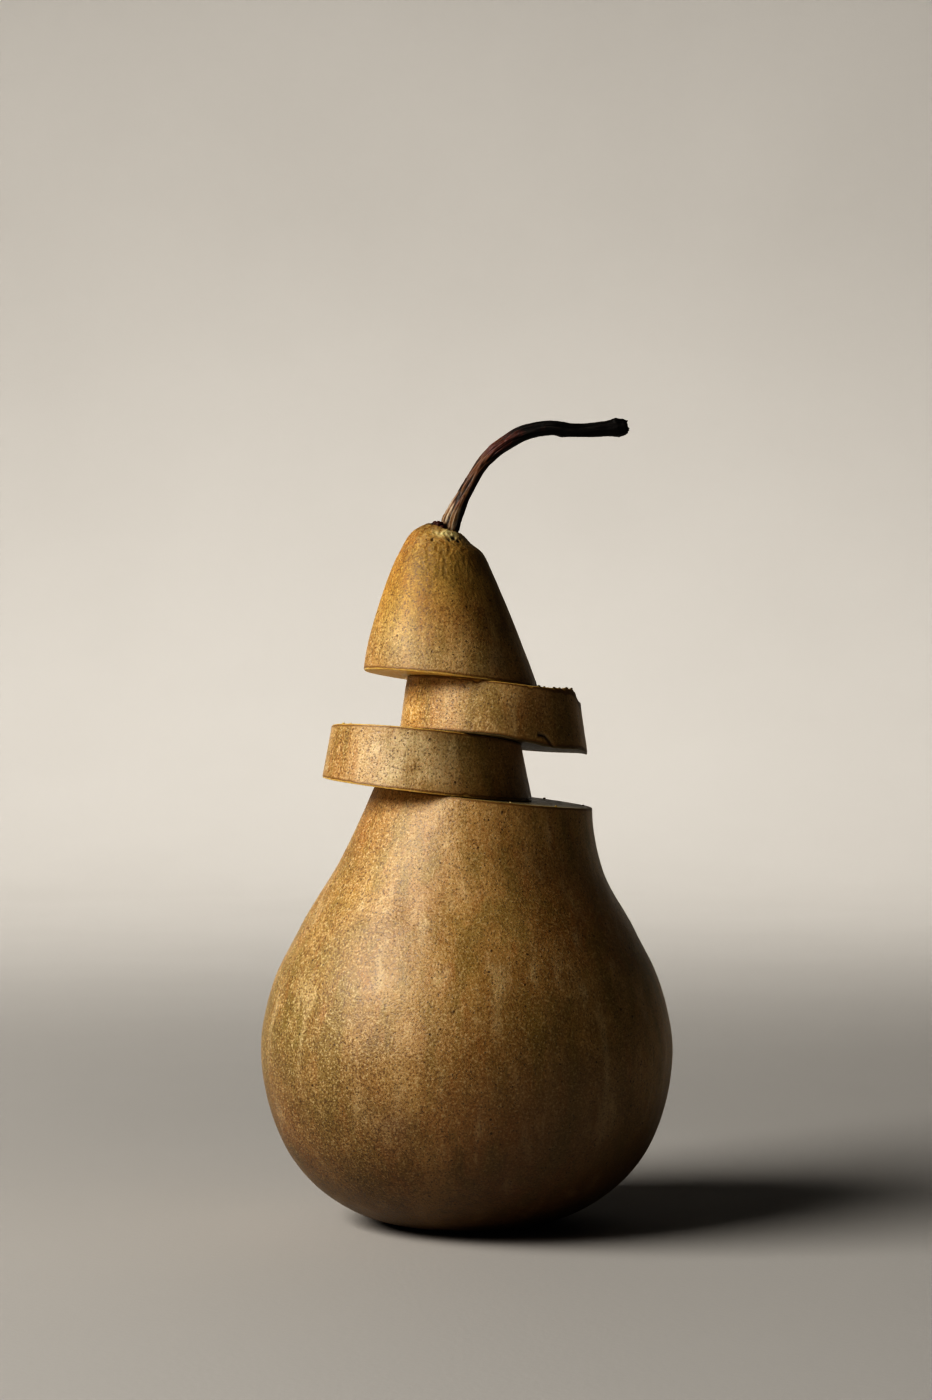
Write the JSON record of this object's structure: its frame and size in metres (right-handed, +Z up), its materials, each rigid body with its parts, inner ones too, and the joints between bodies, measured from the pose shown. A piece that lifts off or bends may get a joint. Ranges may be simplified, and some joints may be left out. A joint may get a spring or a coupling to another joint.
{
  "type": "pear",
  "caption": "Golden russet pear cut across and stacked again off centre: body, two slices, tip with a long curved woody stem, and dried sepals beneath",
  "frame": {"origin": "middle of the small flat spot that the pear rests on, at the surface it stands on", "axes": "+Z up along the pear; +X to the side that the end of the stem points to; seen from -Y the stack is as in the picture"},
  "size_m": [0.0762, 0.0762, 0.1482],
  "materials": {
    "skin": "satin",
    "stem_wood": "matte",
    "dried_sepal": "matte"
  },
  "bodies": {
    "root": {"pear_body": "skin", "lower_slice": "skin", "upper_slice": "skin", "pear_top": "skin", "stem": "stem_wood", "calyx": "dried_sepal"}
  },
  "joints": []
}
